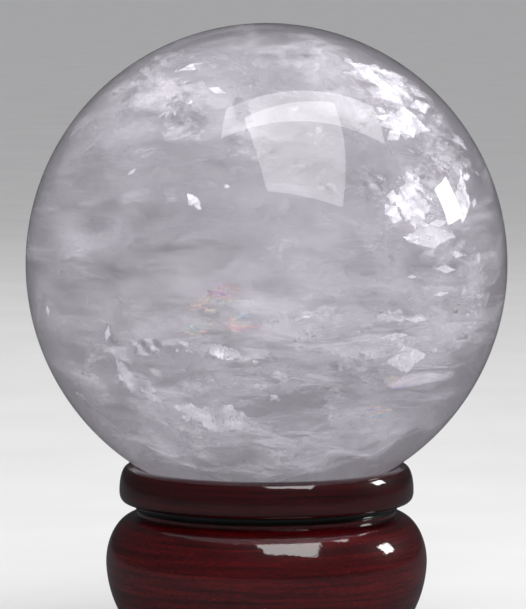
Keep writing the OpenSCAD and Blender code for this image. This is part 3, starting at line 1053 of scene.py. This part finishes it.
cracks = []
for right, up, depth, half_mm, family in CRACK_PLACES:
    tilt = np.array(FAMILIES[family]) + draw.normal(0, 4, 3)
    grid, share = lens(seen_at(right, up, depth), tilt, half_mm * MM, half_mm * MM * 0.6, draw,
                       ragged=0.22, corners=4, wave=0.001, rings=6, around=40, thick=0.12 * MM)
    cracks.append((grid, share, CRACK_COVER))
lens_piece("cracks", cracks, CRACK)

# %% [markdown]
# ## Rainbow films
# A few cracks are only just open. Their film of air is far thinner than a hair, so it colours the
# light as oil does on water. They lie in the lower half, some way in from the front.

# %% Rainbow films
FILM_ROLL = 20
FILMS = [
    # right, up, depth, half length in mm, nod, turn
    (-0.20, -0.14, 0.45, 5.0, 30, -20), (-0.10, -0.24, 0.50, 4.0, 45, 10),
    (0.46, -0.60, 0.35, 3.5, 35, 25), (-0.28, -0.26, 0.50, 3.0, 40, 0),
    (0.52, -0.48, 0.45, 3.0, 30, 35),
]
draw = np.random.default_rng(53)
films = []
for right, up, depth, half_mm, nod, turn in FILMS:
    tilt = (nod, turn, FILM_ROLL)
    grid, share = lens(seen_at(right, up, depth), tilt, half_mm * MM, half_mm * MM * 0.6, draw,
                       wave=0.004, rings=6, around=40, thick=0.1 * MM)
    films.append((grid, share, 1.0))
lens_piece("rainbow_films", films, RAINBOW)

# %% [markdown]
# ## Lamps
# Polish mirrors the lamps, so each lamp is placed by where its reflection shows on the ball. Two
# soft boxes above overlap in the reflection as a bright window with paler wings. A small lamp at
# the right gives rim and drum their small highlights, and doesn't show through the crystal. A
# weak one behind only lights the veils.

# %% Lamps
TARGET = Vector((0, 0, BALL_Z))


def soft_box(name, way, distance, width, height, radiance, turns=(0, 0, 0)):
    """An area lamp in that direction from the ball. It faces the ball, and is then rolled, swung
    and nodded by turns, in degrees. Its power is its radiance times its area times pi."""
    way = Vector(way)
    lamp = bpy.data.objects.new(name, bpy.data.lights.new(name, "AREA"))
    lamp.data.shape = "RECTANGLE"
    lamp.data.size = width
    lamp.data.size_y = height
    lamp.data.energy = radiance * width * height * math.pi
    lamp.location = TARGET + distance * way
    facing = way.to_track_quat("Z", "Y").to_matrix()
    for axis, angle in zip("ZYX", turns):
        facing = facing @ Matrix.Rotation(math.radians(angle), 3, axis)
    lamp.rotation_euler = facing.to_euler()
    lamp.visible_camera = False
    bpy.context.collection.objects.link(lamp)
    print(f"{name}: {[round(c, 2) for c in lamp.location]} m, {lamp.data.energy:.1f} W")
    return lamp


soft_box("window_box", WINDOW_WAY, 0.75, 0.544, 0.652, 3.4, turns=(-7, 28, -3.8))
soft_box("strip_box", STRIP_WAY, 0.75, 0.864, 0.317, 3.4, turns=(-26.5, 20.7, 42.4))
side_box = soft_box("side_box", SIDE_WAY, 0.8, 0.17, 0.17, 10)
side_box.visible_transmission = False
back_box = soft_box("back_box", (-0.3, 0.75, 0.6), 1.1, 0.5, 0.3, 4)
back_box.visible_glossy = False
back_box.visible_transmission = False

# %% [markdown]
# ## The studio round the object
# The room is plain and pale. What gloss mirrors is darker than what the eye and matt surfaces
# get, as when black cards stand beyond the frame, or the lacquer would look chalky. What shows
# through the crystal lies between the two, so that its veils stand out from a grey depth.

# %% World
def by_ray(tree, seen, through, mirrored):
    """Tells rays apart: what the eye and matt surfaces get, what shows through the crystal, and
    what gloss mirrors. A ray bent by clear crystal counts as glossy too, so it is asked last."""
    ray = add(tree, "LightPath")
    plain = add(tree, "MixShader", _0=ray.outputs["Is Glossy Ray"], _1=seen, _2=mirrored)
    return add(tree, "MixShader", _0=ray.outputs["Is Transmission Ray"], _1=plain, _2=through)


world = bpy.data.worlds.new("studio")
bpy.context.scene.world = world
world.use_nodes = True
world.node_tree.nodes.clear()
tree = world.node_tree
room = add(tree, "Background", color=linear("#e6e7ea"), strength=0.72)
behind = add(tree, "Background", color=linear("#e6e7ea"), strength=0.25)
cards = add(tree, "Background", color=linear("#c9ccd2"), strength=0.06)
sky = by_ray(tree, room, behind, cards)
add(tree, "OutputWorld", surface=sky)


# %% Floor
def pale_floor():
    """Matt pale paper, with a hardly visible unevenness. Gloss mirrors it as if the cards lay on
    it, and through the crystal it shows grey."""
    material, tree = fresh_material("pale_floor")
    place = place_pattern(tree, (0.02, 0.02, 0.02))
    cloud = add(tree, "TexNoise", vector=place, scale=1, detail=3)
    colour = ramp(tree, cloud, (0.3, "#dad9d8"), (0.7, "#dfdedd"))
    paper = add(tree, "BsdfPrincipled", base_color=colour, roughness=0.9)
    behind = add(tree, "BsdfDiffuse", color=linear("#78787a"))
    card = add(tree, "BsdfDiffuse", color=linear("#4a4a4c"))
    add(tree, "OutputMaterial", surface=by_ray(tree, paper, behind, card))
    return material


FLOOR_HALF = 60.0
corners = FLOOR_HALF * np.array([[-1, -1, 0], [1, -1, 0], [1, 1, 0], [-1, 1, 0]])
floor = put_mesh("floor", corners, [[0, 1, 2, 3]], pale_floor())
print(f"floor: {2 * FLOOR_HALF:.0f} m square")

# %% Light paths
scene = bpy.context.scene
scene.view_settings.view_transform = "Standard"
scene.cycles.max_bounces = 16
scene.cycles.transmission_bounces = 12
scene.cycles.transparent_max_bounces = 24
scene.cycles.volume_bounces = 2
